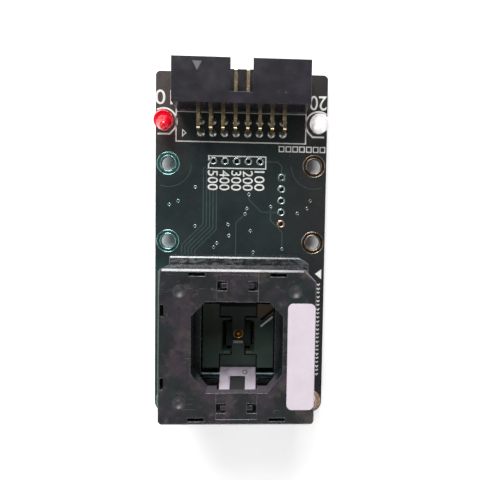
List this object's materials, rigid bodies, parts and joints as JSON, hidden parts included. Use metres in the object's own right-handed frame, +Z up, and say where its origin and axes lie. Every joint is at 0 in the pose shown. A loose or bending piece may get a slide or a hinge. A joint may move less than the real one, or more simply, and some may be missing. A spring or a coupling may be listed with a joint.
{
  "type": "zif socket",
  "caption": "Test-socket adaptor board: open-top zero-insertion-force socket with press-down cover and latches, right-angle box header, two lamps, mounting holes.",
  "frame": {"origin": "centre of the rectangle of the four outer mounting holes, on the underside of the board", "axes": "+Z up out of the board's top face, +Y along the board towards the box header, +X across the board"},
  "size_m": [0.0374, 0.0752, 0.0252],
  "materials": {
    "board": "glossy dark solder mask",
    "tin": "bright tinned copper and solder",
    "gold": "gold plating",
    "header_plastic": "satin black moulding",
    "lamp_red": "clear tinted epoxy",
    "lamp_clear": "clear epoxy",
    "lead_steel": "tinned steel",
    "chip_black": "glazed black",
    "socket_plastic": "satin black moulding",
    "inner_plastic": "satin black moulding",
    "steel": "polished stainless steel",
    "spring_steel": "drawn spring wire",
    "paper": "matt coated paper"
  },
  "bodies": {
    "adaptor": {"board": "board", "mounting_rings": "tin", "header_pads": "tin", "row_pads": "tin", "column_pads": "tin", "lamp_pads": "tin", "socket_pads": "tin", "header_shroud": "header_plastic", "header_pins_upper": "gold", "header_pins_lower": "gold", "header_solder": "tin", "lamp_red_lens": "lamp_red", "lamp_red_leads": "lead_steel", "lamp_clear_lens": "lamp_clear", "lamp_clear_leads": "lead_steel", "lamp_solder": "tin", "chip_resistors": "chip_black", "chip_resistor_ends": "tin", "socket_base": "socket_plastic", "contact_block": "inner_plastic", "contacts_north": "gold", "contacts_south": "gold", "contacts_east": "gold", "contacts_west": "gold", "socket_solder": "tin", "ground_sleeve": "gold", "nest": "inner_plastic", "axle_north": "steel", "axle_south": "steel"},
    "cover": {"cover": "socket_plastic", "label": "paper", "cover_spring_ne": "spring_steel", "cover_spring_nw": "spring_steel", "cover_spring_se": "spring_steel", "cover_spring_sw": "spring_steel"},
    "latch_north": {"latch_arm_north": "inner_plastic", "latch_plate_north": "steel"},
    "latch_south": {"latch_arm_south": "inner_plastic", "latch_plate_south": "steel"},
    "probe": {"ground_plunger": "gold", "ground_spring": "spring_steel"}
  },
  "joints": [
    {"name": "cover_press", "type": "slide", "parent": "adaptor", "child": "cover", "axis": [0, 0, -1], "range_m": [0, 0.003], "stiffness_N_per_m": 4000, "deforming": ["cover_spring_ne", "cover_spring_nw", "cover_spring_se", "cover_spring_sw"]},
    {"name": "latch_north_pivot", "type": "hinge", "parent": "adaptor", "child": "latch_north", "pos_m": [0, -0.00015, 0.0126], "axis": [-1, 0, 0], "range_deg": [0, 42]},
    {"name": "latch_south_pivot", "type": "hinge", "parent": "adaptor", "child": "latch_south", "pos_m": [0, -0.01675, 0.0126], "axis": [1, 0, 0], "range_deg": [0, 42]},
    {"name": "ground_probe", "type": "slide", "parent": "adaptor", "child": "probe", "axis": [0, 0, -1], "range_m": [0, 0.0004], "stiffness_N_per_m": 300, "deforming": ["ground_spring"]}
  ],
  "couplings": [
    {"joint": "latch_north_pivot", "follows": "cover_press", "rad_per_m": 244.3},
    {"joint": "latch_south_pivot", "follows": "cover_press", "rad_per_m": 244.3}
  ]
}
